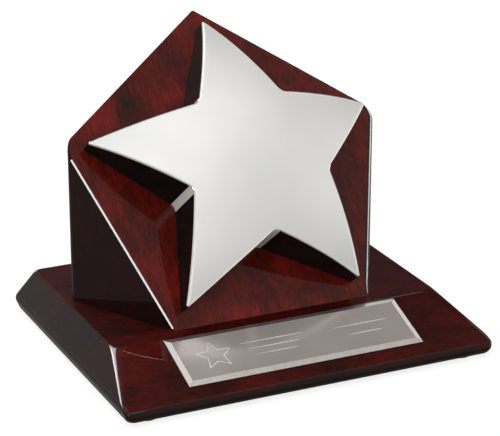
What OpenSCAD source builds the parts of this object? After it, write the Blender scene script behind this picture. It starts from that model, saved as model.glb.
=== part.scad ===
// Star trophy: a lacquered plinth with a sloped front and a nameplate, a pentagon block
// whose face leans back, and a domed star casting held on that face by three studs.
// +X is the trophy's right, +Y is its back, and +Z is up. The origin is the middle of
// the plinth's footprint, on the surface that the feet rest on.

/* [Plinth] */
// Width of the plinth at its underside
plinth_w = 190; // [180:1:230]
// Depth of the plinth at its underside
plinth_d = 153; // [151:1:190]
// Thickness of the plinth
plinth_h = 19.5; // [18.5:0.5:22]
// How far each side leans in between the underside and the top
side_inset = 10.5; // [4:0.5:12]
// How far the back leans in between the underside and the top
back_inset = 3; // [1:0.5:8]
// Angle of the sloped front from the horizontal
ramp_angle = 19.5; // [18:0.5:23]
// Height of the front lip above the underside
lip_h = 5.5; // [5.5:0.5:8]
// Radius that blends the slope into the flat top
ramp_blend_r = 7; // [5:1:25]
// Radius of the vertical corners
corner_r = 4; // [2:0.5:8]

/* [Block] */
// Radius of the circle through the five corners of the leaning face
face_r = 87; // [84:0.5:90]
// Angle of the face back from the vertical
lean = 36.5; // [33:0.5:38]
// Distance from the front of the plinth to the foot of the face
block_setback = 48; // [46:0.5:52]
// Radius of the upright edges at the two widest corners
side_edge_r = 5; // [3:0.5:9]

/* [Star] */
// Radius of the circle through the cut-off ends of the five arms
star_r = 76.5; // [72:0.5:79]
// Radius of the circle through the five inner corners, before they are rounded
star_inner_r = 36.8; // [34:0.2:39]
// Thickness of the star at its centre
star_crown = 34; // [28:0.5:38]
// Thickness of the star at the ends of its arms
star_tip_h = 8.5; // [7:0.5:12]
// Radius of the rounded inner corners
star_fillet_r = 5; // [3:0.5:7]
// Wall of the hollow casting
star_wall = 3; // [2.5:0.25:4]

/* [Nameplate] */
// Width of the nameplate
plate_w = 120.5; // [100:0.5:130]
// Depth of the nameplate, up the slope
plate_d = 32; // [24:0.5:33]
// Thickness of the nameplate
plate_t = 1.2; // [1:0.1:2]
// Width of its bevelled border
plate_border = 2.8; // [1.5:0.1:4]

/* [Feet] */
// Diameter of each foot
foot_d = 10; // [8:0.5:14]
// Height of each foot with its adhesive disc
foot_h = 2; // [1.6:0.1:3]

/* [Hidden] */

$fn = 64;
eps = 0.01;
clear = 400; // longer than anything it cuts

// Levels and edges of the plinth
nose_in = 1.5;         // the lip's upper edge lies this far behind its front
underside_z = foot_h;
top_z = underside_z + plinth_h;
front_y = -plinth_d / 2;
back_y = plinth_d / 2;
nose_y = front_y + nose_in;
lip_z = underside_z + lip_h;
ramp_top_y = nose_y + (top_z - lip_z) / tan(ramp_angle);
underside_bevel = 2.2; // the rounded lower edge starts this far in
bulge_z = 6;           // height of the widest line of the sides
lip_low_r = 1.5;       // radii of the rounded edges
lip_r = 2.2;
nose_r = 2.5;
side_r = 2;
bulge_r = 4;
back_top_r = 2.5;
arc_steps = 8;         // flats along one rounded corner

// Block, measured in plan from the foot of its face
block_y = front_y + block_setback;
rise = cos(lean);
run = sin(lean);
half_foot = face_r * sin(36);
half_wide = face_r * sin(72);
wide_v = face_r * (cos(36) + cos(72));
peak_v = face_r * (1 + cos(36));
centre_v = face_r * cos(36);
foot_edge_r = 1.5;
peak_edge_r = 3;

// Star
tip_cut = 1.4; // how much of each arm's sharp end is cut off
arm_sharp_r = star_r + tip_cut;
dome_r = (star_r * star_r + pow(star_crown - star_tip_h, 2)) / (2 * (star_crown - star_tip_h));
boss_d = 12;
boss_ring_r = 21;
boss_gap = 0.4; // the bosses stop this far short of the block's face
rib_t = 3;

// Studs between the star and the block
stud_d = 5;
stud_in_star = 13;
stud_in_block = 18;
stud_end_gap = 1;
stud_hole_d = 5.4;
stud_chamfer = 0.6;
STUD_ANGLES = [90, 210, 330];

// Screws that hold the block down on the plinth
screw_d = 6;
screw_clear_d = 6.6;
screw_head_d = 10.5;
screw_head_h = 3.3;
screw_len = 25;
screw_chamfer = 0.8;
head_face_in = 2.2;    // the head's end face stops this far inside its edge
head_shoulder_in = 0.7;
head_shoulder_h = 1;
head_rim_h = 0.9;
hex_key = 4;
hex_depth = 2;
counterbore_d = 14;
counterbore_h = 9;
washer_d = 12.5;
washer_t = 1.5;
insert_d = 10;
insert_len = 13;
insert_recess = 0.5;
insert_hole_len = 16;
insert_rib_pitch = 2.6;
insert_groove_w = 0.8;
back_screw_in = 70;    // the screws lie this far behind the foot of the face
side_screw_in = 34;
side_screw_x = 36;
SCREW_SPOTS = [
    [0, block_y + back_screw_in],
    [-side_screw_x, block_y + side_screw_in],
    [side_screw_x, block_y + side_screw_in]
];

// Dowels that stop the block from turning
dowel_d = 8;
dowel_down = 11;
dowel_up = 17;
dowel_end_gap = 1;
dowel_chamfer = 1;
dowel_x = 52;
dowel_in = 52;
dowel_y = block_y + dowel_in;

// Nameplate, measured down the slope from the slope's top edge
plate_drop = 1.5;
tape_t = 0.3;
tape_margin = 2.5;
border_fall = 0.7;
plate_corner_r = 0.8;

// Feet
foot_in_x = 14;
foot_in_y = 10;
disc_t = 0.2;
disc_d = foot_d - 1.5;
foot_edge = 0.6;

// Colours
rosewood = [0.27, 0.05, 0.05];
silver = [0.86, 0.87, 0.87];
satin = [0.62, 0.59, 0.57];
steel = [0.72, 0.73, 0.75];
brass = [0.80, 0.62, 0.28];
beech = [0.82, 0.66, 0.45];
rubber = [0.07, 0.07, 0.08];
foam = [0.90, 0.90, 0.86];

// One corner of a polygon, rounded with radius r between its two neighbours
function unit(v) = v / norm(v);
function corner_arc(p, a, b, r) =
    let (
        u = unit(a - p),
        w = unit(b - p),
        half = acos(u * w) / 2,
        middle = p + unit(u + w) * r / sin(half),
        start = p + u * r / tan(half) - middle,
        end = p + w * r / tan(half) - middle,
        from = atan2(start.y, start.x),
        turn = atan2(end.y, end.x) - from,
        sweep = turn > 180 ? turn - 360 : turn < -180 ? turn + 360 : turn
    )
    r < eps ? [p] : [
        for (i = [0:arc_steps])
            middle + r * [cos(from + sweep * i / arc_steps), sin(from + sweep * i / arc_steps)]
    ];

// A closed outline with each corner rounded; points is a list of [x, y, radius]
function rounded(points) =
    let (n = len(points))
    [
        for (i = [0:n - 1])
            let (
                p = points[i],
                a = points[(i + n - 1) % n],
                b = points[(i + 1) % n]
            )
            each corner_arc([p.x, p.y], [a.x, a.y], [b.x, b.y], p.z)
    ];

function mirrored(points) = concat(
    points,
    [for (i = [len(points) - 1:-1:0]) [-points[i].x, points[i].y, points[i].z]]
);

// Places children on the leaning face: x across, y up the face, z out of it
module on_face() {
    translate([0, block_y, top_z])
        rotate([90 - lean, 0, 0])
            children();
}

// Places children at the centre of the star, on the face
module on_star() {
    on_face()
        translate([0, centre_v, 0])
            children();
}

// Places children on the sloped front: y up the slope, z out of it
module on_ramp() {
    translate([0, ramp_top_y, top_z])
        rotate([ramp_angle, 0, 0])
            children();
}

// Outline of the plinth seen from its side, as [y, z, radius]
function plinth_side() = [
    [front_y + underside_bevel, underside_z, lip_low_r],
    [front_y, underside_z + lip_h / 2, lip_r],
    [nose_y, lip_z, nose_r],
    [ramp_top_y, top_z, ramp_blend_r],
    [back_y - back_inset, top_z, back_top_r],
    [back_y, underside_z + bulge_z, bulge_r],
    [back_y - underside_bevel, underside_z, side_r]
];

// Outline of the plinth seen from its front, as [x, z, radius]
function plinth_front() = mirrored([
    [plinth_w / 2 - underside_bevel, underside_z, side_r],
    [plinth_w / 2, underside_z + bulge_z, bulge_r],
    [plinth_w / 2 - side_inset, top_z, side_r]
]);

module plinth_solid() {
    intersection() {
        rotate([90, 0, 90])
            linear_extrude(height = plinth_w + 2, center = true)
                polygon(rounded(plinth_side()));
        rotate([90, 0, 0])
            linear_extrude(height = plinth_d + 2, center = true)
                polygon(rounded(plinth_front()));
        linear_extrude(height = top_z + 1)
            polygon(rounded(mirrored([
                [plinth_w / 2, front_y, corner_r],
                [plinth_w / 2, back_y, corner_r]
            ])));
    }
}

module plinth() {
    color(rosewood)
        difference() {
            plinth_solid();
            for (spot = SCREW_SPOTS)
                translate([spot.x, spot.y, underside_z]) {
                    translate([0, 0, -1])
                        cylinder(d = counterbore_d, h = counterbore_h + 1);
                    cylinder(d = screw_clear_d, h = plinth_h + 1);
                }
            for (side = [-1, 1])
                translate([side * dowel_x, dowel_y, top_z - dowel_down - dowel_end_gap])
                    cylinder(d = dowel_d, h = dowel_down + dowel_end_gap + 1);
        }
}

// The upright prism that the block is cut from, seen from above
function block_plan() = mirrored([
    [half_foot, block_y, foot_edge_r],
    [half_wide, block_y + wide_v * run, side_edge_r],
    [0, block_y + peak_v * run, peak_edge_r]
]);

// mirrored() repeats the point on the centre line, so the plan drops one copy of it
function block_outline() =
    let (plan = block_plan())
    [for (i = [0:len(plan) - 1]) if (i != 3) plan[i]];

module block_solid() {
    difference() {
        translate([0, 0, top_z])
            linear_extrude(height = peak_v * rise + 1)
                polygon(rounded(block_outline()));
        on_face()
            translate([-clear / 2, -clear / 2, 0])
                cube(clear);
    }
}

module pentagon_block() {
    color(rosewood)
        difference() {
            block_solid();
            on_star()
                for (a = STUD_ANGLES)
                    rotate(a)
                        translate([boss_ring_r, 0, -stud_in_block - stud_end_gap])
                            cylinder(d = stud_hole_d, h = stud_in_block + stud_end_gap + 1);
            for (spot = SCREW_SPOTS)
                translate([spot.x, spot.y, top_z - 1])
                    cylinder(d = insert_d, h = insert_hole_len + 1);
            for (side = [-1, 1])
                translate([side * dowel_x, dowel_y, top_z - 1])
                    cylinder(d = dowel_d, h = dowel_up + dowel_end_gap + 1);
        }
}

function polar(r, a) = r * [cos(a), sin(a)];

// Five arms with cut-off ends and rounded inner corners, drawn inset inside the outer edge
module star_outline(inset = 0) {
    half_arm = atan2(star_inner_r * sin(36), arm_sharp_r - star_inner_r * cos(36));
    half_notch = half_arm + 36;
    sharp = arm_sharp_r - inset / sin(half_arm);
    inner = star_inner_r - inset / sin(half_notch);
    end_r = min(star_r - inset, sharp - tip_cut);
    half_end = (sharp - end_r) * tan(half_arm);
    fillet_r = star_fillet_r + inset;
    fillet_at = inner + fillet_r / sin(half_notch);
    touch = fillet_r / tan(half_notch);
    difference() {
        union() {
            polygon([
                for (a = [90:72:378])
                    each [
                        polar(end_r, a) + polar(half_end, a - 90),
                        polar(end_r, a) + polar(half_end, a + 90),
                        polar(inner, a + 36)
                    ]
            ]);
            for (a = [54:72:342])
                rotate(a)
                    polygon([
                        [0, 0],
                        [inner + touch * cos(half_notch), touch * sin(half_notch)],
                        [inner + touch * cos(half_notch), -touch * sin(half_notch)]
                    ]);
        }
        for (a = [54:72:342])
            rotate(a)
                translate([fillet_at, 0])
                    circle(r = fillet_r);
    }
}

// Everything under a dome of radius r whose crown is at height top; the sphere's poles
// lie level with the dome's rim, well away from the crown
module under_dome(r, top) {
    translate([0, 0, top - r])
        rotate([90, 0, 0])
            sphere(r = r, $fn = 180);
}

module star_shell() {
    difference() {
        intersection() {
            linear_extrude(height = star_crown + 1)
                star_outline();
            under_dome(dome_r, star_crown);
        }
        intersection() {
            translate([0, 0, -1])
                linear_extrude(height = star_crown)
                    star_outline(star_wall);
            under_dome(dome_r - star_wall, star_crown - star_wall);
        }
    }
}

// Bosses for the studs, and ribs that tie them to the middle of the casting
module star_bosses() {
    intersection() {
        union() {
            for (a = STUD_ANGLES)
                rotate(a) {
                    translate([boss_ring_r, 0, boss_gap])
                        cylinder(d = boss_d, h = star_crown);
                    translate([0, -rib_t / 2, star_crown / 3])
                        cube([boss_ring_r, rib_t, star_crown]);
                }
        }
        under_dome(dome_r - star_wall / 2, star_crown - star_wall / 2);
    }
}

module star_casting() {
    color(silver)
        on_star()
            difference() {
                union() {
                    star_shell();
                    star_bosses();
                }
                for (a = STUD_ANGLES)
                    rotate(a)
                        translate([boss_ring_r, 0, -eps])
                            cylinder(d = stud_d, h = stud_in_star + eps);
            }
}

module chamfered_rod(d, h, chamfer) {
    rotate_extrude()
        polygon([
            [0, 0],
            [d / 2 - chamfer, 0],
            [d / 2, chamfer],
            [d / 2, h - chamfer],
            [d / 2 - chamfer, h],
            [0, h]
        ]);
}

module stud(angle) {
    color(steel)
        on_star()
            rotate(angle)
                translate([boss_ring_r, 0, -stud_in_block])
                    chamfered_rod(stud_d, stud_in_block + stud_in_star, stud_chamfer);
}

// A washer sits against the counterbore's end, and the screw's head under it
module block_washer(spot) {
    color(steel)
        translate([spot.x, spot.y, underside_z + counterbore_h - washer_t])
            difference() {
                cylinder(d = washer_d, h = washer_t);
                translate([0, 0, -1])
                    cylinder(d = screw_clear_d, h = washer_t + 2);
            }
}

module block_screw(spot) {
    seat_z = underside_z + counterbore_h - washer_t;
    color(steel)
        translate([spot.x, spot.y, seat_z])
            difference() {
                union() {
                    translate([0, 0, -eps])
                        chamfered_rod(screw_d, screw_len + eps, screw_chamfer);
                    rotate_extrude()
                        polygon([
                            [0, -screw_head_h],
                            [screw_head_d / 2 - head_face_in, -screw_head_h],
                            [screw_head_d / 2 - head_shoulder_in, -screw_head_h + head_shoulder_h],
                            [screw_head_d / 2, -head_rim_h],
                            [screw_head_d / 2, 0],
                            [0, 0]
                        ]);
                }
                translate([0, 0, -screw_head_h - 1])
                    cylinder(d = hex_key / cos(30), h = hex_depth + 1, $fn = 6);
            }
}

// A brass insert with grooves that leave rings to grip the wood
module block_insert(spot) {
    rings = floor(insert_len / insert_rib_pitch);
    color(brass)
        translate([spot.x, spot.y, top_z + insert_recess])
            difference() {
                cylinder(d = insert_d, h = insert_len);
                translate([0, 0, -1])
                    cylinder(d = screw_d, h = insert_len + 2);
                for (i = [1:rings - 1])
                    translate([0, 0, i * insert_rib_pitch])
                        rotate_extrude()
                            translate([insert_d / 2, 0])
                                rotate(45)
                                    square(insert_groove_w, center = true);
            }
}

module dowel(side) {
    color(beech)
        translate([side * dowel_x, dowel_y, top_z - dowel_down])
            chamfered_rod(dowel_d, dowel_down + dowel_up, dowel_chamfer);
}

// A flat plate whose edges fall away in a broad bevel
module nameplate() {
    rim = plate_t - border_fall;
    color(satin)
        on_ramp()
            translate([0, -plate_drop - plate_d / 2, tape_t])
                intersection() {
                    linear_extrude(height = plate_t)
                        polygon(rounded(mirrored([
                            [plate_w / 2, -plate_d / 2, plate_corner_r],
                            [plate_w / 2, plate_d / 2, plate_corner_r]
                        ])));
                    rotate([90, 0, 0])
                        linear_extrude(height = plate_d + 2, center = true)
                            polygon([
                                [-plate_w / 2, 0],
                                [plate_w / 2, 0],
                                [plate_w / 2, rim],
                                [plate_w / 2 - plate_border, plate_t],
                                [-plate_w / 2 + plate_border, plate_t],
                                [-plate_w / 2, rim]
                            ]);
                    rotate([90, 0, 90])
                        linear_extrude(height = plate_w + 2, center = true)
                            polygon([
                                [-plate_d / 2, 0],
                                [plate_d / 2, 0],
                                [plate_d / 2, rim],
                                [plate_d / 2 - plate_border, plate_t],
                                [-plate_d / 2 + plate_border, plate_t],
                                [-plate_d / 2, rim]
                            ]);
                }
}

// Tape under the plate, from the slope's blend down to near the plate's front edge
module nameplate_tape() {
    blend_reach = ramp_blend_r * tan(ramp_angle / 2);
    tape_top = -max(blend_reach, plate_drop + tape_margin);
    tape_d = plate_d + plate_drop - tape_margin + tape_top;
    color(foam)
        on_ramp()
            translate([-plate_w / 2 + tape_margin, tape_top - tape_d, 0])
                cube([plate_w - 2 * tape_margin, tape_d, tape_t]);
}

module foot(x_side, y_side) {
    color(rubber)
        translate([x_side * (plinth_w / 2 - foot_in_x), y_side * (plinth_d / 2 - foot_in_y), 0])
            rotate_extrude()
                polygon([
                    [0, 0],
                    [foot_d / 2 - 2 * foot_edge, 0],
                    [foot_d / 2 - foot_edge, foot_edge / 2],
                    [foot_d / 2, foot_h - disc_t - foot_edge / 2],
                    [foot_d / 2, foot_h - disc_t],
                    [0, foot_h - disc_t]
                ]);
}

module foot_disc(x_side, y_side) {
    color(foam)
        translate([
            x_side * (plinth_w / 2 - foot_in_x),
            y_side * (plinth_d / 2 - foot_in_y),
            foot_h - disc_t
        ])
            cylinder(d = disc_d, h = disc_t);
}

plinth();
pentagon_block();
star_casting();
nameplate();
nameplate_tape();
stud(STUD_ANGLES[0]);  // stud_top
stud(STUD_ANGLES[1]);  // stud_left
stud(STUD_ANGLES[2]);  // stud_right
block_screw(SCREW_SPOTS[0]);  // block_screw_back
block_screw(SCREW_SPOTS[1]);  // block_screw_left
block_screw(SCREW_SPOTS[2]);  // block_screw_right
block_washer(SCREW_SPOTS[0]);  // block_washer_back
block_washer(SCREW_SPOTS[1]);  // block_washer_left
block_washer(SCREW_SPOTS[2]);  // block_washer_right
block_insert(SCREW_SPOTS[0]);  // block_insert_back
block_insert(SCREW_SPOTS[1]);  // block_insert_left
block_insert(SCREW_SPOTS[2]);  // block_insert_right
dowel(-1);  // dowel_left
dowel(1);  // dowel_right
foot(-1, -1);  // foot_front_left
foot(1, -1);  // foot_front_right
foot(-1, 1);  // foot_back_left
foot(1, 1);  // foot_back_right
foot_disc(-1, -1);  // foot_disc_front_left
foot_disc(1, -1);  // foot_disc_front_right
foot_disc(-1, 1);  // foot_disc_back_left
foot_disc(1, 1);  // foot_disc_back_right
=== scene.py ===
import math

import bmesh
import bpy
from mathutils import Matrix, Quaternion, Vector


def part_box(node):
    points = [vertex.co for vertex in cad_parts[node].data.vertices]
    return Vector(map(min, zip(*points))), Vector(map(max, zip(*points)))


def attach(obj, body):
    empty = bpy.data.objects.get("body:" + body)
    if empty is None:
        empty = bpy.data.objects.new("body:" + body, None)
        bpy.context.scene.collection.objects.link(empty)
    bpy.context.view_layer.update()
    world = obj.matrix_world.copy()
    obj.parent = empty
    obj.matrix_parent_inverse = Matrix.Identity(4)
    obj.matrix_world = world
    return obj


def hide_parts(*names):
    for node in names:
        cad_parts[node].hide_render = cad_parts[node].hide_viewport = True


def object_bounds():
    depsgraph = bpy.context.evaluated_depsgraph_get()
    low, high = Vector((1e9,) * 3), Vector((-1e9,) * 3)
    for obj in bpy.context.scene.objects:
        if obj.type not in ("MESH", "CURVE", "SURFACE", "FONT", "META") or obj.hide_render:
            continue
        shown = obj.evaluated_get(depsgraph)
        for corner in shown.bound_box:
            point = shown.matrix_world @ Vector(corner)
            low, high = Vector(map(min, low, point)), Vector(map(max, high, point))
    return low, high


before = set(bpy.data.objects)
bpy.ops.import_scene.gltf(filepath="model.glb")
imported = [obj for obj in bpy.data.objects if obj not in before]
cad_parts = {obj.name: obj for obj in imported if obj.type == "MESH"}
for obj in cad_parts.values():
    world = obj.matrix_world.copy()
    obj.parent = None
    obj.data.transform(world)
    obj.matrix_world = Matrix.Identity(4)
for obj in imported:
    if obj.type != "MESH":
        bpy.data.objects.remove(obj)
cad_low, cad_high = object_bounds()

MM = 0.001


# ---------------------------------------------------------------- sizes, in metres

TENTH_TURN = math.radians(36)
FIFTH_TURN = math.radians(72)

# Plinth, with its profile's corners as they are before they are rounded
PLINTH_LOW, PLINTH_HIGH = (Vector(corner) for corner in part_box("plinth"))
UNDERSIDE_Z = PLINTH_LOW.z
TOP_Z = PLINTH_HIGH.z
PLINTH_HALF_W = 95 * MM
PLINTH_HALF_D = 76.5 * MM
SIDE_INSET = 10.5 * MM
BACK_INSET = 3 * MM
UNDERSIDE_BEVEL = 2.2 * MM
BULGE_H = 6 * MM
NOSE_IN = 1.5 * MM
LIP_H = 5.5 * MM
RAMP_ANGLE = math.radians(19.5)
RAMP_TOP_Y = NOSE_IN - PLINTH_HALF_D + (TOP_Z - UNDERSIDE_Z - LIP_H) / math.tan(RAMP_ANGLE)

# Radii of its rounded edges
UNDERSIDE_R = 2 * MM
LIP_LOW_R = 1.5 * MM
LIP_R = 2.2 * MM
NOSE_R = 2.5 * MM
RAMP_BLEND_R = 7 * MM
BULGE_R = 4 * MM
SIDE_TOP_R = 1.6 * MM
BACK_TOP_R = 2.5 * MM
FRONT_CORNER_R = 3.2 * MM
FRONT_CORNER_TOP_R = 7.5 * MM
BACK_CORNER_R = 4 * MM

# Block and the leaning face, with the radii of the block's upright edges
LEAN = math.radians(36.5)
FACE_R = 87 * MM
BLOCK_Y = 48 * MM - PLINTH_HALF_D
CENTRE_V = FACE_R * math.cos(TENTH_TURN)
FOOT_EDGE_R = 1.5 * MM
SIDE_EDGE_R = 5 * MM
PEAK_EDGE_R = 3 * MM

# Star
STAR_R = 76.5 * MM
STAR_INNER_R = 36.8 * MM
STAR_CROWN = 34 * MM
STAR_TIP_H = 8.5 * MM
STAR_FILLET_R = 5 * MM
STAR_WALL = 3 * MM
STAR_TIP_CUT = 1.4 * MM
STAR_EDGE_R = 0.8 * MM
STAR_INSIDE_EDGE_R = 0.4 * MM
DOME_R = (STAR_R ** 2 + (STAR_CROWN - STAR_TIP_H) ** 2) / (2 * (STAR_CROWN - STAR_TIP_H))

# Nameplate
PLATE_W = 120.5 * MM
PLATE_D = 32 * MM
PLATE_T = 1.2 * MM
PLATE_BORDER = 2.8 * MM
PLATE_FALL = 0.7 * MM
PLATE_DROP = 1.5 * MM
PLATE_EDGE_R = 0.18 * MM
TAPE_T = 0.3 * MM

# From the flat plans of the face, the star and the plate to their places
ON_FACE = (
    Matrix.Translation((0, BLOCK_Y, TOP_Z))
    @ Matrix.Rotation(math.pi / 2 - LEAN, 4, "X")
)
ON_STAR = ON_FACE @ Matrix.Translation((0, CENTRE_V, 0))
ON_PLATE = (
    Matrix.Translation((0, RAMP_TOP_Y, TOP_Z))
    @ Matrix.Rotation(RAMP_ANGLE, 4, "X")
    @ Matrix.Translation((0, -PLATE_DROP - PLATE_D / 2, TAPE_T))
)


# ---------------------------------------------------------------- node materials

class Shader:
    """A material with one Principled shader, and short calls that add texture nodes."""

    def __init__(self, name, **values):
        self.material = bpy.data.materials.new(name)
        self.material.use_nodes = True
        self.tree = self.material.node_tree
        self.principled = self.tree.nodes["Principled BSDF"]
        for socket, value in values.items():
            self.principled.inputs[socket.replace("_", " ")].default_value = value

    def add(self, kind, **settings):
        node = self.tree.nodes.new(kind)
        for setting, value in settings.items():
            setattr(node, setting, value)
        return node

    def link(self, output, socket):
        self.tree.links.new(output, socket)

    def coordinates(self, turn=(0, 0, 0), stretch=(1, 1, 1), shift=(0, 0, 0)):
        """Object coordinates turned by minus the angles in turn, then stretched."""
        source = self.add("ShaderNodeTexCoord")
        turned = self.add("ShaderNodeMapping", vector_type="TEXTURE")
        turned.inputs["Rotation"].default_value = turn
        stretched = self.add("ShaderNodeMapping")
        stretched.inputs["Scale"].default_value = stretch
        stretched.inputs["Location"].default_value = shift
        self.link(source.outputs["Object"], turned.inputs["Vector"])
        self.link(turned.outputs["Vector"], stretched.inputs["Vector"])
        return stretched.outputs["Vector"]

    def noise(self, vector, scale, detail=2.0, roughness=0.5, distortion=0.0):
        node = self.add("ShaderNodeTexNoise")
        node.inputs["Scale"].default_value = scale
        node.inputs["Detail"].default_value = detail
        node.inputs["Roughness"].default_value = roughness
        node.inputs["Distortion"].default_value = distortion
        self.link(vector, node.inputs["Vector"])
        return node.outputs["Fac"]

    def sum_of(self, *weighted):
        """The sum of value times weight over (value, weight) pairs."""
        total = None
        for value, weight in weighted:
            node = self.add("ShaderNodeMath", operation="MULTIPLY_ADD")
            node.inputs[1].default_value = weight
            node.inputs[2].default_value = 0.0
            self.link(value, node.inputs[0])
            if total is not None:
                self.link(total, node.inputs[2])
            total = node.outputs["Value"]
        return total

    def bump(self, height, distance, strength):
        """Gives the surface a fine relief, distance high where the height is 1."""
        node = self.add("ShaderNodeBump")
        node.inputs["Distance"].default_value = distance
        node.inputs["Strength"].default_value = strength
        self.link(height, node.inputs["Height"])
        self.link(node.outputs["Normal"], self.principled.inputs["Normal"])

    def colour(self, value, *stops):
        """Gives the surface its colour from (place, colour) stops along the value."""
        node = self.add("ShaderNodeValToRGB")
        elements = node.color_ramp.elements
        while len(elements) < len(stops):
            elements.new(0.5)
        for element, (place, colour) in zip(elements, stops):
            element.position = place
            element.color = (*colour, 1.0)
        self.link(value, node.inputs["Fac"])
        self.link(node.outputs["Color"], self.principled.inputs["Base Color"])

    def roughness(self, value, low, high):
        """Gives the surface a roughness from low to high as the value goes from 0 to 1."""
        node = self.add("ShaderNodeMapRange", clamp=True)
        node.inputs["To Min"].default_value = low
        node.inputs["To Max"].default_value = high
        self.link(value, node.inputs["Value"])
        self.link(node.outputs["Result"], self.principled.inputs["Roughness"])


# How light the wood is: the stops below are multiplied by these. The plinth is stained darker than
# the block's face; the sides' far darker copy is painted shade on the faces turned from the light
TOP_TONE, FACE_TONE, SHADED_SIDE_TONE = 0.50, 1.2, 0.12
ROSEWOOD_STOPS = [
    (0.34, (0.012, 0.003, 0.001)),
    (0.45, (0.058, 0.003, 0.001)),
    (0.55, (0.112, 0.005, 0.003)),
    (0.68, (0.200, 0.011, 0.007)),
]
# Figure, streaks and fibres: scale along the grain, noise settings and share of the colour
ROSEWOOD_LAYERS = [
    (0.65, (48, 4.0, 0.62, 0.5), 0.50),
    (0.25, (480, 2.5, 0.6, 0.4), 0.26),
    (0.18, (1700, 2.0, 0.6), 0.24),
]


def rosewood(name, turn, shift, tone):
    """Figured rosewood under clear lacquer; the grain runs along the turned Y axis."""
    shader = Shader(
        name,
        Roughness=0.5,
        Specular_IOR_Level=0.05,
        Coat_Weight=1.0,
        Coat_Roughness=0.01,
        Coat_IOR=1.30,
    )
    layers = []
    for along, noise, share in ROSEWOOD_LAYERS:
        vector = shader.coordinates(turn, (1.0, along, 1.0), shift)
        layers.append((shader.noise(vector, *noise), share))
    stops = [(place, [tone * part for part in colour]) for place, colour in ROSEWOOD_STOPS]
    shader.colour(shader.sum_of(*layers), *stops)
    return shader.material


def star_silver():
    shader = Shader("star_silver", Metallic=1.0)
    cloud = shader.noise(shader.coordinates(), 30)
    grain = shader.noise(shader.coordinates(), 2600, 2.0, 0.6)
    shader.colour(cloud, (0.3, (0.86, 0.87, 0.87)), (0.7, (0.92, 0.92, 0.91)))
    shader.roughness(grain, 0.58, 0.66)
    shader.bump(grain, 0.01 * MM, 0.3)
    return shader.material


def satin_plate():
    shader = Shader("satin_plate", Metallic=0.45)
    along = shader.noise(shader.coordinates(stretch=(0.03, 1, 1)), 2400, 2.0, 0.6)
    cloud = shader.noise(shader.coordinates(), 24)
    mixed = shader.sum_of((along, 0.4), (cloud, 0.6))
    shader.colour(mixed, (0.35, (0.50, 0.455, 0.43)), (0.65, (0.58, 0.53, 0.505)))
    shader.roughness(along, 0.12, 0.20)
    shader.bump(along, 0.004 * MM, 0.3)
    return shader.material


def surface(name, noise, dark, light, rough, bump=None, stretch=(1, 1, 1), **values):
    """A material whose colour, roughness and relief all follow one noise.

    noise is its scale, detail and roughness, rough is the roughness at its low and high
    ends, and bump is the height of the relief and its strength."""
    shader = Shader(name, **values)
    pattern = shader.noise(shader.coordinates(stretch=stretch), *noise)
    shader.colour(pattern, (0.3, dark), (0.7, light))
    shader.roughness(pattern, *rough)
    if bump:
        shader.bump(pattern, *bump)
    return shader.material


def plain_metal(name, dark, light, rough):
    """Turned or plated small hardware with faint tool marks."""
    return surface(
        name, (700, 3.0, 0.65), dark, light, (rough - 0.07, rough + 0.1),
        bump=(0.01 * MM, 0.3), stretch=(1, 1, 6), Metallic=1.0,
    )


STAR_RIM = surface(
    "star_polished_rim", (160, 3.0, 0.6), (0.90, 0.90, 0.89), (0.97, 0.97, 0.96),
    (0.06, 0.14), Metallic=1.0,
)
STAR_BLACK = surface(
    "star_black_side", (90, 3.0, 0.6), (0.001, 0.003, 0.0025), (0.004, 0.007, 0.006),
    (0.14, 0.28), Specular_IOR_Level=0.15,
)
# Paler metal in the inner corners of the star's black side walls, a painted highlight: a pale
# streak of light drawn into the fillets' colour
STAR_CORNER_HIGHLIGHT = surface(
    "star_corner_painted_highlight", (300, 3.0, 0.6), (0.88, 0.85, 0.82), (0.95, 0.93, 0.90),
    (0.35, 0.5), Metallic=0.3,
)
CAST_METAL = plain_metal("star_cast_inside", (0.42, 0.42, 0.41), (0.62, 0.62, 0.60), 0.5)
PLATE_EDGE = surface(
    "plate_border", (400, 3.0, 0.6), (0.64, 0.62, 0.60), (0.73, 0.71, 0.69),
    (0.12, 0.2), Metallic=0.9,
)
ENGRAVING = surface(
    "frosted_engraving", (2200, 3.0, 0.7), (0.70, 0.68, 0.66), (0.90, 0.88, 0.86),
    (0.5, 0.7), Metallic=0.2,
)
RUBBER = surface(
    "foot_rubber", (900, 3.0, 0.6), (0.20, 0.20, 0.20), (0.27, 0.27, 0.26),
    (0.12, 0.25), bump=(0.02 * MM, 0.4), Specular_IOR_Level=0.5,
)
BEECH = surface(
    "dowel_beech", (1300, 3.0, 0.6), (0.50, 0.33, 0.17), (0.72, 0.53, 0.33),
    (0.55, 0.75), bump=(0.03 * MM, 0.4), stretch=(1, 1, 0.08), Specular_IOR_Level=0.3,
)
FOAM = surface(
    "foam_tape", (1500, 3.0, 0.7), (0.66, 0.66, 0.62), (0.80, 0.80, 0.77),
    (0.7, 0.9), bump=(0.03 * MM, 0.5), Specular_IOR_Level=0.25,
)
ZINC = plain_metal("zinc_plate", (0.50, 0.51, 0.53), (0.68, 0.69, 0.72), 0.3)
BRASS = plain_metal("turned_brass", (0.60, 0.41, 0.14), (0.80, 0.60, 0.26), 0.28)


# ---------------------------------------------------------------- mesh helpers

def new_piece(name, mesh, slot, *materials):
    """An object made from a bmesh, with smooth faces, that rides with the trophy."""
    bmesh.ops.recalc_face_normals(mesh, faces=mesh.faces[:])
    data = bpy.data.meshes.new(name)
    mesh.to_mesh(data)
    mesh.free()
    data.shade_smooth()
    for material in materials:
        data.materials.append(material)
    piece = bpy.data.objects.new(name, data)
    bpy.context.scene.collection.objects.link(piece)
    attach(piece, "root")
    return piece


# Where a normal leans further than this from its face (as a cosine), the face keeps its own
FLAT_SHARE = 0.5


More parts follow.
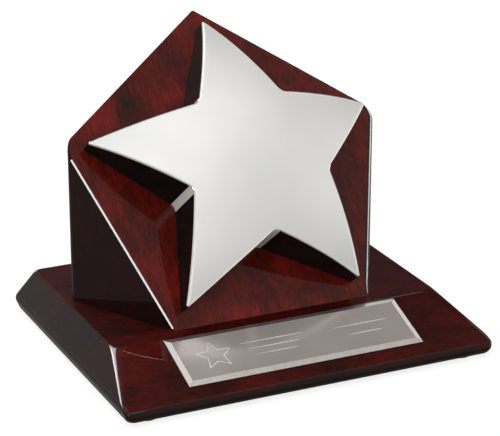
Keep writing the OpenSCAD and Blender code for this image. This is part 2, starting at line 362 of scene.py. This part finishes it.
def shaded_piece(name, mesh, normals, slot, *materials):
    """A new piece that is shaded by its surfaces' own normals, given for each vertex.

    A vertex's normal points out of the solid on one skin and into it on the other, so its
    sign follows the face, and a face that it doesn't belong to keeps its flat normal."""
    mesh.verts.index_update()
    by_index = {vertex.index: normal for vertex, normal in normals.items()}
    piece = new_piece(name, mesh, slot, *materials)
    corners = []
    for face in piece.data.polygons:
        flat = Vector(face.normal)
        for index in face.vertices:
            normal = by_index[index]
            share = normal.dot(flat)
            stray = abs(share) < FLAT_SHARE
            corners.append(flat if stray else normal * math.copysign(1, share))
    piece.data.normals_split_custom_set(corners)
    return piece


def round_edges(piece, width, segments, **settings):
    """Bevels the edges that the settings allow, all of them unless there is a limit."""
    modifier = piece.modifiers.new("rounded_edges", "BEVEL")
    modifier.width = width
    modifier.segments = segments
    modifier.harden_normals = True
    for setting, value in settings.items():
        setattr(modifier, setting, value)


def bridge(mesh, one, other, material=0):
    """A closed band of faces between two rings of vertices."""
    for i in range(len(one)):
        face = mesh.faces.new((one[i - 1], one[i], other[i], other[i - 1]))
        face.material_index = material


def stack(mesh, rings, material=0):
    """Bands of faces through all the rings, and a face over the first and the last."""
    for one, other in zip(rings, rings[1:]):
        bridge(mesh, one, other, material)
    return mesh.faces.new(rings[0]), mesh.faces.new(rings[-1])


def polar(radius, angle):
    return Vector((radius * math.cos(angle), radius * math.sin(angle)))


def rounded_outline(points, steps):
    """A closed outline whose corners, given as (x, y, radius), are true arcs."""
    outline = []
    for i, (x, y, radius) in enumerate(points):
        corner = Vector((x, y))
        before = (Vector(points[i - 1][:2]) - corner).normalized()
        after = (Vector(points[(i + 1) % len(points)][:2]) - corner).normalized()
        half = before.angle(after) / 2
        middle = corner + (before + after).normalized() * radius / math.sin(half)
        start = corner + before * radius / math.tan(half) - middle
        end = corner + after * radius / math.tan(half) - middle
        turn = math.atan2(start.x * end.y - start.y * end.x, start.dot(end))
        for step in range(steps + 1):
            arm = Matrix.Rotation(turn * step / steps, 2) @ start
            outline.append(middle + arm)
    return outline


# ---------------------------------------------------------------- plinth

class Profile:
    """How far a rounded outline reaches from the middle at each height.

    Corners are (reach, height, radius) from the underside up to the top."""

    ARC_STEPS = 8
    STEEPEST = 1e4
    SLACK = 1e-9

    def __init__(self, corners):
        points = [Vector((0, corners[0][1]))]
        points += [Vector(corner[:2]) for corner in corners]
        points.append(Vector((0, corners[-1][1])))
        self.arcs = []
        for i, (_, _, radius) in enumerate(corners, start=1):
            back = (points[i - 1] - points[i]).normalized()
            ahead = (points[i + 1] - points[i]).normalized()
            half = back.angle(ahead) / 2
            reach = radius / math.tan(half)
            centre = points[i] + (back + ahead).normalized() * radius / math.sin(half)
            start = points[i] + back * reach
            end = points[i] + ahead * reach
            self.arcs.append((start, end, centre, radius))

    def levels(self):
        """The heights that follow the rounded corners evenly."""
        heights = []
        for start, end, centre, radius in self.arcs:
            first = math.asin(max(-1, (start.y - centre.y) / radius))
            last = math.asin(min(1, (end.y - centre.y) / radius))
            for step in range(self.ARC_STEPS + 1):
                angle = first + (last - first) * step / self.ARC_STEPS
                heights.append(centre.y + radius * math.sin(angle))
        return heights

    def at(self, height):
        """(reach, change of reach with height) at that height."""
        for start, end, centre, radius in self.arcs:
            if start.y - self.SLACK <= height <= end.y + self.SLACK:
                rise = height - centre.y
                across = math.sqrt(max(radius ** 2 - rise ** 2, 0))
                slope = -rise / max(across, radius / self.STEEPEST)
                return centre.x + across, slope
        for (_, start, _, _), (end, _, _, _) in zip(self.arcs, self.arcs[1:]):
            if start.y <= height <= end.y:
                slope = (end.x - start.x) / (end.y - start.y)
                return start.x + slope * (height - start.y), slope
        raise ValueError(f"no profile at height {height}")


PLINTH_CORNER_STEPS = 12
CORNER_SPREAD_POWER = 7
LEVEL_GAP = 0.004 * MM  # levels closer than this are merged
# Faces that rise less steeply than this take the sides' darker copy of the wood, painted shade
TOP_FACING = 0.78  # a face whose normal rises at least this much has the top's tone


def front_corner(height):
    """(radius, its change with height) of the front corners, which widen near the top."""
    tall = TOP_Z - UNDERSIDE_Z
    share = (height - UNDERSIDE_Z) / tall
    spread = FRONT_CORNER_TOP_R - FRONT_CORNER_R
    power = CORNER_SPREAD_POWER
    return (
        FRONT_CORNER_R + spread * share ** power,
        spread * power * share ** (power - 1) / tall,
    )


def plinth():
    """A stack of rounded rectangles between the underside and the top."""
    side = Profile([
        (PLINTH_HALF_W - UNDERSIDE_BEVEL, UNDERSIDE_Z, UNDERSIDE_R),
        (PLINTH_HALF_W, UNDERSIDE_Z + BULGE_H, BULGE_R),
        (PLINTH_HALF_W - SIDE_INSET, TOP_Z, SIDE_TOP_R),
    ])
    front = Profile([
        (PLINTH_HALF_D - UNDERSIDE_BEVEL, UNDERSIDE_Z, LIP_LOW_R),
        (PLINTH_HALF_D, UNDERSIDE_Z + LIP_H / 2, LIP_R),
        (PLINTH_HALF_D - NOSE_IN, UNDERSIDE_Z + LIP_H, NOSE_R),
        (-RAMP_TOP_Y, TOP_Z, RAMP_BLEND_R),
    ])
    back = Profile([
        (PLINTH_HALF_D - UNDERSIDE_BEVEL, UNDERSIDE_Z, UNDERSIDE_R),
        (PLINTH_HALF_D, UNDERSIDE_Z + BULGE_H, BULGE_R),
        (PLINTH_HALF_D - BACK_INSET, TOP_Z, BACK_TOP_R),
    ])
    levels = sorted(side.levels() + front.levels() + back.levels())
    levels = [z for z, below in zip(levels, [-1.0] + levels) if z - below > LEVEL_GAP]
    levels[-1] = TOP_Z

    mesh = bmesh.new()
    normals = {}
    rings = []
    for z in levels:
        half_w, w_slope = side.at(z)
        ring = []
        for way, end, corner in ((-1, front, front_corner(z)), (1, back, (BACK_CORNER_R, 0.0))):
            reach, d_slope = end.at(z)
            radius, r_slope = corner
            quarter = []
            for step in range(PLINTH_CORNER_STEPS + 1):
                angle = math.pi / 2 * step / PLINTH_CORNER_STEPS
                across, along = math.cos(angle), math.sin(angle)
                point = (half_w - radius + radius * across, reach - radius + radius * along)
                lean = w_slope * across + d_slope * along + r_slope * (1 - across - along)
                quarter.append((point, (across, along, -lean)))
            for mirror in (-1, 1) if way == -1 else (1, -1):
                order = quarter if mirror == way else quarter[::-1]
                for (x, y), (nx, ny, nz) in order:
                    vertex = mesh.verts.new((mirror * x, way * y, z))
                    normals[vertex] = Vector((mirror * nx, way * ny, nz)).normalized()
                    ring.append(vertex)
        rings.append(ring)
    stack(mesh, rings)
    grain = (0, 0, math.pi / 2), (0.3, 0.1, 0.2)
    piece = shaded_piece(
        "lacquered_plinth",
        mesh,
        normals,
        "lacquered_wood",
        rosewood("rosewood_plinth", *grain, TOP_TONE),
        rosewood("rosewood_plinth_edge_shaded", *grain, SHADED_SIDE_TONE),
    )
    # The top and the ramp take the lighter copy of the wood and every other face the darker one:
    # painted shade on the plinth's edges
    for face in piece.data.polygons:
        face.material_index = 0 if face.normal.z > TOP_FACING else 1
    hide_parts("plinth")
    return piece


# ---------------------------------------------------------------- block

BLOCK_CORNER_STEPS = 12
SIDE_STEPS = 16
ARRIS_STEPS = 4
# Which way the block's four slanting sides face, in degrees
LEFT_WAY, BACK_LEFT_WAY, BACK_RIGHT_WAY, RIGHT_WAY = 208.6, 113.2, 66.8, -28.6
# Sizes of the edges round the leaning face
LEFT_CHAMFER = 0.70 * MM
TOP_EDGE = 0.50 * MM
RIGHT_CORNER_EDGE = 3.6 * MM
RIGHT_EDGE = 1.2 * MM
SHARPEST_EDGE = 0.03 * MM
SOFT_SHARE = 0.2  # the chamfer's roundness


def share_between(value, start, end):
    return min(max((value - start) / (end - start), 0.0), 1.0)


def edge_style(point, way):
    """(size, roundness) of the edge between the side that faces that way and the face.

    A roundness of 1 is a plain round edge, and a small one is a chamfer with soft arrises."""
    angle = math.degrees(math.atan2(way.y, way.x))
    if point.x < 0:
        turn = share_between(angle % 360, LEFT_WAY, BACK_LEFT_WAY)
        size = LEFT_CHAMFER + (TOP_EDGE - LEFT_CHAMFER) * turn
        roundness = SOFT_SHARE + (1 - SOFT_SHARE) * turn
    else:
        along = share_between(point.x, 0, FACE_R * math.sin(FIFTH_TURN))
        turn = share_between(angle, BACK_RIGHT_WAY, RIGHT_WAY)
        size = TOP_EDGE + (RIGHT_CORNER_EDGE - TOP_EDGE) * along
        size += (RIGHT_EDGE - size) * turn
        roundness = 1.0
    return size, roundness


def block_outline():
    """The plan of the block, as (point, outward direction) pairs."""
    foot, wide = math.sin(TENTH_TURN), math.sin(FIFTH_TURN)
    upper, peak = math.cos(TENTH_TURN) + math.cos(FIFTH_TURN), 1 + math.cos(TENTH_TURN)
    corners = [
        (foot, 0, FOOT_EDGE_R),
        (wide, upper, SIDE_EDGE_R),
        (0, peak, PEAK_EDGE_R),
        (-wide, upper, SIDE_EDGE_R),
        (-foot, 0, FOOT_EDGE_R),
    ]
    plan = []
    for across, up_face, radius in corners:
        y = BLOCK_Y + FACE_R * up_face * math.sin(LEAN)
        plan.append((FACE_R * across, y, radius))
    points = rounded_outline(plan, BLOCK_CORNER_STEPS)
    per_corner = len(points) // len(plan)
    outline = []
    for i, point in enumerate(points):
        after = points[(i + 1) % len(points)]
        before = points[i - 1]
        first = i % per_corner == 0
        last = i % per_corner == per_corner - 1
        if first:
            along = point - before
        elif last:
            along = after - point
        else:
            along = after - before
        way = Vector((along.y, -along.x)).normalized()
        outline.append((point, way))
        if last:
            for step in range(1, SIDE_STEPS):
                outline.append((point.lerp(after, step / SIDE_STEPS), way))
    return outline


def block():
    """An upright prism with a squashed pentagon plan, cut by the leaning face."""
    mesh = bmesh.new()
    normals = {}
    face_way = (ON_FACE.to_3x3() @ Vector((0, 0, 1))).normalized()
    columns = []
    for point, way in block_outline():
        height = (point.y - BLOCK_Y) / math.tan(LEAN)
        corner = Vector((point.x, point.y, TOP_Z + height))
        side_way = way.to_3d()
        size, roundness = edge_style(point, way)
        size = min(size, max(height / 2, SHARPEST_EDGE))
        slant = side_way.dot(face_way)
        down = -(face_way - side_way * slant).normalized()
        inward = -(side_way - face_way * slant).normalized()
        middle_way = (side_way + face_way).normalized()
        turn = side_way.angle(middle_way)
        width = (down - inward).length * size
        radius = roundness * width / (2 * math.tan(turn / 2))
        column = [(Vector((point.x, point.y, TOP_Z)), side_way)]
        for foot_of, start, end in (
            (corner + down * size, side_way, middle_way),
            (corner + inward * size, middle_way, face_way),
        ):
            centre = foot_of - (start + end) * radius / (1 + start.dot(end))
            for step in range(ARRIS_STEPS + 1):
                normal = start.slerp(end, step / ARRIS_STEPS)
                column.append((centre + normal * radius, normal))
        columns.append(column)

    rings = []
    for row in zip(*columns):
        ring = []
        for place, normal in row:
            vertex = mesh.verts.new(place)
            normals[vertex] = normal
            ring.append(vertex)
        rings.append(ring)
    underside, _ = stack(mesh, rings, 1)
    underside.material_index = 1
    # The leaning face takes the lighter copy of the wood, the sides, edges and underside a much
    # darker one: painted shade
    piece = shaded_piece(
        "lacquered_block",
        mesh,
        normals,
        "lacquered_wood",
        rosewood("rosewood_face", (math.pi / 2 - LEAN, 0, 0), (0.0, 0.0, 0.0), FACE_TONE),
        rosewood("rosewood_side_shaded", (math.pi / 2, 0, 0), (0.5, 0.2, 0.0), SHADED_SIDE_TONE),
    )
    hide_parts("pentagon_block")
    return piece


# ---------------------------------------------------------------- star

ARM_STEPS = 14
TIP_STEPS = 8
FILLET_STEPS = 12
SHARPEST_TIP = 0.02 * MM
HALF_ARM = math.atan2(
    STAR_INNER_R * math.sin(TENTH_TURN),
    STAR_R + STAR_TIP_CUT - STAR_INNER_R * math.cos(TENTH_TURN),
)
HALF_NOTCH = HALF_ARM + TENTH_TURN
TIP_R = STAR_TIP_CUT / (1 / math.sin(HALF_ARM) - 1)
# How far from the middle of each notch, as an angle, the side walls carry the painted highlight of
# paler metal
HIGHLIGHT_HALF_ANGLE = math.radians(3)
# Rows of faces on the walls, the edge and the dome
OUTSIDE_ROWS = (4, 6, 30)
INSIDE_ROWS = (2, 2, 12)
DOME, RIM, WALL, HIGHLIGHT_SLOT = range(4)  # the star's material slots


def star_loop(inset):
    """The star's outline inset by that much, as (point, outward direction) pairs.

    It has the same number of points at every inset, in the same order."""
    sharp = STAR_R + STAR_TIP_CUT - inset / math.sin(HALF_ARM)
    inner = STAR_INNER_R - inset / math.sin(HALF_NOTCH)
    tip_r = max(TIP_R - inset, SHARPEST_TIP)
    tip_at = sharp - tip_r / math.sin(HALF_ARM)
    fillet_r = STAR_FILLET_R + inset
    fillet_at = inner + fillet_r / math.sin(HALF_NOTCH)
    loop = []
    for arm in range(5):
        axis = math.pi / 2 + FIFTH_TURN * arm
        centre = polar(tip_at, axis)
        swing = math.pi / 2 - HALF_ARM
        tip = []
        for step in range(TIP_STEPS + 1):
            way = axis - swing + 2 * swing * step / TIP_STEPS
            tip.append((centre + polar(tip_r, way), polar(1, way)))
        notch = axis + TENTH_TURN
        middle = polar(fillet_at, notch)
        reach = math.pi / 2 - HALF_NOTCH
        fillet = []
        for step in range(FILLET_STEPS + 1):
            way = notch + math.pi + reach - 2 * reach * step / FILLET_STEPS
            fillet.append((middle + polar(fillet_r, way), -polar(1, way)))
        loop.append((tip, fillet))
    points = []
    for arm in range(5):
        tip, fillet = loop[arm]
        back = loop[arm - 1][1][-1]
        for start, group in ((back, tip), (tip[-1], fillet)):
            for step in range(1, ARM_STEPS):
                share = step / ARM_STEPS
                points.append((start[0].lerp(group[0][0], share), group[0][1]))
            points.extend(group)
    return points


def dome_height(point, radius, crown):
    return crown - radius + math.sqrt(radius ** 2 - point.length_squared)


def shell_skin(mesh, normals, inset, radius, crown, edge_r, rows, materials):
    """Wall, rounded edge and dome over one outline; returns the ring at the bottom.

    rows is the number of rows on the wall, the edge and the dome, and materials is the
    index of the material of each. The true normal of each vertex goes into normals."""
    outline = star_loop(inset)
    turn = ON_STAR.to_3x3()
    up = Vector((0, 0, 1))

    def place(x, y, z, normal):
        vertex = mesh.verts.new(ON_STAR @ Vector((x, y, z)))
        normals[vertex] = turn @ normal
        return vertex

    def dome_normal(flat):
        height = math.sqrt(radius ** 2 - flat.length_squared)
        return Vector((flat.x, flat.y, height)) / radius

    arcs = []
    for point, way in outline:
        slope = math.atan2(
            dome_height(point - way * edge_r, radius, crown) - dome_height(point, radius, crown),
            edge_r,
        )
        stop = math.pi / 2 - slope
        end = point - way * edge_r * (1 - math.cos(stop))
        start_h = dome_height(end, radius, crown) - edge_r * math.sin(stop)
        arcs.append((stop, start_h, end))

    def wall_ring(share):
        ring = []
        for (point, way), (_, start_h, _) in zip(outline, arcs):
            ring.append(place(point.x, point.y, start_h * share, way.to_3d()))
        return ring

    def edge_ring(share):
        ring = []
        for (point, way), (stop, start_h, _) in zip(outline, arcs):
            angle = stop * share
            flat = point - way * edge_r * (1 - math.cos(angle))
            normal = way.to_3d() * math.cos(angle) + up * math.sin(angle)
            ring.append(place(flat.x, flat.y, start_h + edge_r * math.sin(angle), normal))
        return ring

    def dome_ring(share):
        ring = []
        for _, _, end in arcs:
            flat = end * share
            ring.append(place(flat.x, flat.y, dome_height(flat, radius, crown), dome_normal(flat)))
        return ring

    wall_rows, edge_rows, dome_rows = rows
    bottom = wall_ring(0)
    last = bottom
    steps = [(wall_ring, row / wall_rows, materials[0]) for row in range(1, wall_rows + 1)]
    steps += [(edge_ring, row / edge_rows, materials[1]) for row in range(1, edge_rows + 1)]
    steps += [(dome_ring, 1 - row / dome_rows, materials[2]) for row in range(1, dome_rows)]
    for make_ring, share, material in steps:
        ring = make_ring(share)
        bridge(mesh, last, ring, material)
        last = ring
    top = place(0, 0, crown, up)
    for i in range(len(last)):
        face = mesh.faces.new((last[i - 1], last[i], top))
        face.material_index = materials[2]
    return bottom


def star():
    """A hollow casting: satin dome, polished edge and black side walls, with a painted highlight
    of paler metal in the walls' inner corners.
    """
    mesh = bmesh.new()
    normals = {}
    outside = shell_skin(
        mesh, normals, 0.0, DOME_R, STAR_CROWN, STAR_EDGE_R, OUTSIDE_ROWS, (WALL, RIM, DOME)
    )
    inside = shell_skin(
        mesh,
        normals,
        STAR_WALL,
        DOME_R - STAR_WALL,
        STAR_CROWN - STAR_WALL,
        STAR_INSIDE_EDGE_R,
        INSIDE_ROWS,
        (WALL, WALL, WALL),
    )
    bridge(mesh, outside, inside, WALL)
    to_star = ON_STAR.inverted()
    # Wall faces close to the middle of each notch take the paler metal: a painted highlight in the
    # inner corners
    for face in mesh.faces:
        place = to_star @ face.calc_center_median()
        from_notch = math.atan2(place.y, place.x) - math.pi / 2 + TENTH_TURN
        off_notch = (from_notch + TENTH_TURN) % FIFTH_TURN - TENTH_TURN
        if face.material_index == WALL and abs(off_notch) < HIGHLIGHT_HALF_ANGLE:
            face.material_index = HIGHLIGHT_SLOT
    piece = shaded_piece(
        "polished_star",
        mesh,
        normals,
        "polished_metal",
        star_silver(),
        STAR_RIM,
        STAR_BLACK,
        STAR_CORNER_HIGHLIGHT,
    )
    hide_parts("star_casting")


# ---------------------------------------------------------------- inside the star

STUD_ANGLES = (90, 210, 330)
BOSS_RING_R = 21 * MM
BOSS_R = 6 * MM
BOSS_GAP = 0.4 * MM
BOSS_LIP = 0.5 * MM
BOSS_STEPS = 32
BORE_R = 2.6 * MM
BORE_DEPTH = 13 * MM
BOSS_EDGE_R = 0.3 * MM
RIB_T = 3 * MM
RIB_FOOT_H = STAR_CROWN / 3


def boss(angle):
    """One threaded boss and the rib that ties it to the middle of the casting."""
    turn = Matrix.Rotation(math.radians(angle), 4, "Z")
    under_r = DOME_R - STAR_WALL / 2
    under_crown = STAR_CROWN - STAR_WALL / 2
    mesh = bmesh.new()
    rings = []
    for radius, height in (
        (BORE_R, BORE_DEPTH),
        (BORE_R, BOSS_GAP + BOSS_LIP),
        (BORE_R + BOSS_LIP, BOSS_GAP),
        (BOSS_R - BOSS_LIP, BOSS_GAP),
        (BOSS_R, BOSS_GAP + BOSS_LIP),
        (BOSS_R, None),
    ):
        ring = []
        for step in range(BOSS_STEPS):
            flat = Vector((BOSS_RING_R, 0)) + polar(radius, math.tau * step / BOSS_STEPS)
            z = dome_height(flat, under_r, under_crown) if height is None else height
            ring.append(mesh.verts.new(ON_STAR @ turn @ Vector((flat.x, flat.y, z))))
        rings.append(ring)
    stack(mesh, rings)

    corners = []
    for x in (0.0, BOSS_RING_R - BORE_R - BOSS_LIP):
        for z in (RIB_FOOT_H, dome_height(Vector((x, 0)), under_r, under_crown)):
            for y in (-RIB_T / 2, RIB_T / 2):
                corners.append(mesh.verts.new(ON_STAR @ turn @ Vector((x, y, z))))
    for quad in (
        (0, 1, 3, 2), (4, 5, 7, 6), (0, 1, 5, 4), (2, 3, 7, 6), (0, 2, 6, 4), (1, 3, 7, 5)
    ):
        mesh.faces.new([corners[i] for i in quad])
    piece = new_piece(f"star_boss_{angle}", mesh, "polished_metal", CAST_METAL)
    round_edges(piece, BOSS_EDGE_R, 2, limit_method="ANGLE", angle_limit=math.radians(50))


# ---------------------------------------------------------------- nameplate

def nameplate():
    """A flat plate whose border falls away in a broad bevel."""
    mesh = bmesh.new()
    rings = []
    for inset, height in ((0.0, 0.0), (0.0, PLATE_T - PLATE_FALL), (PLATE_BORDER, PLATE_T)):
        ring = []
        for x, y in ((-1, -1), (1, -1), (1, 1), (-1, 1)):
            corner = Vector((x * (PLATE_W / 2 - inset), y * (PLATE_D / 2 - inset), height))
            ring.append(mesh.verts.new(ON_PLATE @ corner))
        rings.append(ring)
    stack(mesh, rings, 1)
    piece = new_piece("engraved_nameplate", mesh, "satin_plate", satin_plate(), PLATE_EDGE)
    round_edges(
        piece, PLATE_EDGE_R, 3, limit_method="NONE", use_clamp_overlap=False, loop_slide=False
    )
    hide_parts("nameplate")


ENGRAVED_DEPTH = 0.03 * MM
EMBLEM_X = -41 * MM
EMBLEM_R = 9.5 * MM
EMBLEM_INNER = 0.45  # its inner corners' share of that radius
EMBLEM_STROKE = 0.55 * MM
RULE_T = 0.6 * MM
RULE_STEPS = 32
# Each rule's left end, right end and height above the middle of the plate, in mm
RULES = [
    (-27, 6, 4.2),
    (-24, 3, 0.0),
    (-21, 0, -4.2),
    (21, 50, 3.0),
    (26, 45, -3.0),
]


def ornament():
    """An outlined star and tapered rules in place of an inscription."""
    mesh = bmesh.new()

    def ring(outline, height):
        places = (Vector((*point, PLATE_T + height)) for point in outline)
        return [mesh.verts.new(ON_PLATE @ place) for place in places]

    def emblem(radius):
        corners = []
        for i in range(10):
            reach = radius * EMBLEM_INNER if i % 2 else radius
            corners.append(Vector((EMBLEM_X, 0)) + polar(reach, math.pi / 2 + TENTH_TURN * i))
        return corners

    rings = []
    for radius in (EMBLEM_R, EMBLEM_R - 2 * EMBLEM_STROKE):
        rings.append(ring(emblem(radius), -ENGRAVED_DEPTH))
        rings.append(ring(emblem(radius), ENGRAVED_DEPTH))
    outer_low, outer_high, inner_low, inner_high = rings
    loop = [outer_low, outer_high, inner_high, inner_low, outer_low]
    for one, other in zip(loop, loop[1:]):
        bridge(mesh, one, other)

    for left, right, height in RULES:
        centre = Vector(((left + right) / 2, height)) * MM
        half = (right - left) / 2 * MM
        outline = []
        for step in range(RULE_STEPS):
            across, along = polar(1, math.tau * step / RULE_STEPS)
            outline.append(centre + Vector((half * across, RULE_T / 2 * along)))
        stack(mesh, [ring(outline, -ENGRAVED_DEPTH), ring(outline, ENGRAVED_DEPTH)])
    new_piece("nameplate_ornament", mesh, "satin_plate", ENGRAVING)


# ---------------------------------------------------------------- feet

FOOT_RIM_R = 0.9 * MM
FOOT_RIM_STEPS = 8
FOOT_TOP_EDGE = 0.15 * MM
FOOT_TURN_STEPS = 40


def foot(node):
    """A turned rubber foot with a rounded rim, in the place of its CAD node."""
    low, high = (Vector(corner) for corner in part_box(node))
    centre = (low + high) / 2
    radius = (high.x - low.x) / 2
    profile = [(0.0, low.z)]
    for step in range(FOOT_RIM_STEPS + 1):
        out, down = polar(FOOT_RIM_R, math.pi / 2 * (step / FOOT_RIM_STEPS - 1))
        profile.append((radius - FOOT_RIM_R + out, low.z + FOOT_RIM_R + down))
    profile.append((radius, high.z - FOOT_TOP_EDGE))
    profile.append((radius - FOOT_TOP_EDGE, high.z))
    profile.append((0.0, high.z))
    mesh = bmesh.new()
    points = [mesh.verts.new((centre.x + r, centre.y, z)) for r, z in profile]
    edges = [mesh.edges.new(pair) for pair in zip(points, points[1:])]
    bmesh.ops.spin(
        mesh, geom=points + edges, cent=centre, axis=(0, 0, 1), angle=math.tau,
        steps=FOOT_TURN_STEPS,
    )
    bmesh.ops.remove_doubles(mesh, verts=mesh.verts[:], dist=1e-6)
    piece = new_piece(node.replace("foot_", "rubber_foot_"), mesh, "foot_rubber", RUBBER)
    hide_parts(node)


# ---------------------------------------------------------------- studio

LIGHT_AIM = Vector((0, 0, 70)) * MM
# Azimuth and elevation in degrees, distance and sizes in metres, radiance, roll in degrees.
# Azimuth 0 is in front of the trophy and 90 is to its right.
LIGHTS = {
    "overhead": (0, 72, 1.6, (1.0, 0.6), 2.0),
    "front_left": (-49.3, 19, 1.54, (0.13, 0.34), 45, 39.7),
    "top_back_left": (-150, 47, 1.5, (0.4, 0.2), 20),
    "right_side": (88, 5, 1.58, (0.55, 0.08), 13),
    "back_edge": (179, 12.3, 1.55, (0.25, 0.15), 5),
    "back_band": (152, 38, 1.5, (0.5, 0.42), 1.0),
    "front_right": (55, 10, 1.6, (0.9, 0.5), 0.9),
    "plate_left_edge": (-172.8, 69.6, 1.43, (0.16, 0.16), 1.2),
    "plate_right_edge": (120.6, 30.3, 1.49, (0.12, 0.12), 1.5),
}
PLINTH_GLEAM = (-160, 48, 1.5, (0.7, 0.45), 13)
BLOCK_GLEAM = (102, 14, 1.58, (1.9, 0.40), 18)


def look_along(direction, roll=0.0):
    turn = Vector(direction).to_track_quat("-Z", "Y")
    return (turn @ Quaternion((0, 0, 1), math.radians(roll))).to_euler()


def softbox(name, azimuth, elevation, distance, size, radiance, roll=0.0):
    """An area light that looks at the middle of the trophy."""
    a = math.radians(azimuth)
    e = math.radians(elevation)
    away = Vector((math.sin(a) * math.cos(e), -math.cos(a) * math.cos(e), math.sin(e)))
    light = bpy.data.lights.new(name, "AREA")
    light.shape = "RECTANGLE"
    light.size, light.size_y = size
    light.energy = radiance * math.pi * size[0] * size[1]
    lamp = bpy.data.objects.new(name, light)
    lamp.location = LIGHT_AIM + away * distance
    lamp.rotation_euler = look_along(-away, roll)
    bpy.context.scene.collection.objects.link(lamp)
    return lamp


TENT_COLOUR = (1.0, 0.975, 0.93, 1)
TENT = 0.60
TENT_DARK = 0.05
# The dark part is towards the back, the right and the top, and fades in along each axis
TENT_FADES = (("Y", 0.12, 0.45), ("X", -0.85, 0.05), ("Z", 0.08, 0.26))


def studio_world():
    """Plain white to the camera; to every other ray, a pale tent with a dark part."""
    world = bpy.data.worlds.new("studio")
    bpy.context.scene.world = world
    world.use_nodes = True
    tree = world.node_tree

    def add(kind):
        return tree.nodes.new("ShaderNode" + kind)

    parts = add("SeparateXYZ")
    tree.links.new(add("TexCoord").outputs["Generated"], parts.inputs[0])
    dark = None
    for axis, start, end in TENT_FADES:
        fade = add("MapRange")
        fade.interpolation_type = "SMOOTHSTEP"
        fade.inputs["From Min"].default_value = start
        fade.inputs["From Max"].default_value = end
        tree.links.new(parts.outputs[axis], fade.inputs["Value"])
        if dark is not None:
            tree.links.new(dark, fade.inputs["To Max"])
        dark = fade.outputs["Result"]
    strength = add("MapRange")
    strength.inputs["To Min"].default_value = TENT
    strength.inputs["To Max"].default_value = TENT_DARK
    tree.links.new(dark, strength.inputs["Value"])
    tent = tree.nodes["Background"]
    tent.inputs["Color"].default_value = TENT_COLOUR
    tree.links.new(strength.outputs["Result"], tent.inputs["Strength"])
    white = add("Background")
    white.inputs["Color"].default_value = (1, 1, 1, 1)
    mix = add("MixShader")
    tree.links.new(add("LightPath").outputs["Is Camera Ray"], mix.inputs["Fac"])
    tree.links.new(tent.outputs["Background"], mix.inputs[1])
    tree.links.new(white.outputs["Background"], mix.inputs[2])
    tree.links.new(mix.outputs["Shader"], tree.nodes["World Output"].inputs["Surface"])


FLOOR_HALF_W = 3.0
FLOOR_GLOW = 0.80


def studio_floor():
    """A pale floor whose glow only the camera sees, so that it lights nothing."""
    mesh = bmesh.new()
    bmesh.ops.create_grid(mesh, x_segments=1, y_segments=1, size=FLOOR_HALF_W)
    data = bpy.data.meshes.new("floor")
    mesh.to_mesh(data)
    mesh.free()
    shader = Shader(
        "pale_floor",
        Base_Color=(0.35, 0.35, 0.34, 1),
        Emission_Color=(1, 1, 1, 1),
        Roughness=0.9,
        Specular_IOR_Level=0.0,
    )
    path = shader.add("ShaderNodeLightPath")
    glow = shader.sum_of((path.outputs["Is Camera Ray"], FLOOR_GLOW))
    shader.link(glow, shader.principled.inputs["Emission Strength"])
    data.materials.append(shader.material)
    floor = bpy.data.objects.new("floor", data)
    floor.location.z = cad_low[2]
    bpy.context.scene.collection.objects.link(floor)


def gleam(piece, name, *settings):
    """A softbox that only shows as a reflection in one piece, to draw its rounded edges."""
    lamp = softbox(name, *settings)
    lit = bpy.data.collections.new(name)
    lit.objects.link(piece)
    lamp.light_linking.receiver_collection = lit
    lamp.visible_diffuse = False


CAMERA_YAW = math.radians(24.96)
CAMERA_PITCH = math.radians(20.44)
CAMERA_DISTANCE = 1.0136
CAMERA_AIM = Vector((-1.0, -4.5, 61.8)) * MM
CAMERA_LENS = 152.5
SENSOR_W = 36


def camera():
    """The photograph's viewpoint, level from side to side."""
    forward = Vector((
        math.sin(CAMERA_YAW) * math.cos(CAMERA_PITCH),
        math.cos(CAMERA_YAW) * math.cos(CAMERA_PITCH),
        -math.sin(CAMERA_PITCH),
    ))
    data = bpy.data.cameras.new("camera")
    data.lens = CAMERA_LENS
    data.sensor_width = SENSOR_W
    seat = bpy.data.objects.new("camera", data)
    seat.location = CAMERA_AIM - forward * CAMERA_DISTANCE
    seat.rotation_euler = look_along(forward)
    bpy.context.scene.collection.objects.link(seat)
    bpy.context.scene.camera = seat


# ---------------------------------------------------------------- the trophy

# The CAD nodes that show as they are, by the start of their names
HARDWARE = {
    "stud": ZINC,
    "block_screw": ZINC,
    "block_washer": ZINC,
    "block_insert": BRASS,
    "dowel": BEECH,
    "foot_disc": FOAM,
    "nameplate_tape": FOAM,
}

camera()
studio_world()
studio_floor()
for name, settings in LIGHTS.items():
    softbox(name, *settings)
gleam(plinth(), "plinth_left_edge", *PLINTH_GLEAM)
gleam(block(), "block_right_edge", *BLOCK_GLEAM)
star()
for angle in STUD_ANGLES:
    boss(angle)
nameplate()
ornament()
for node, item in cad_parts.items():
    for start, material in HARDWARE.items():
        if node.startswith(start):
            item.data.materials.clear()
            item.data.materials.append(material)
            break
    else:
        if node.startswith("foot_"):
            foot(node)

bpy.context.scene.view_settings.view_transform = "Standard"
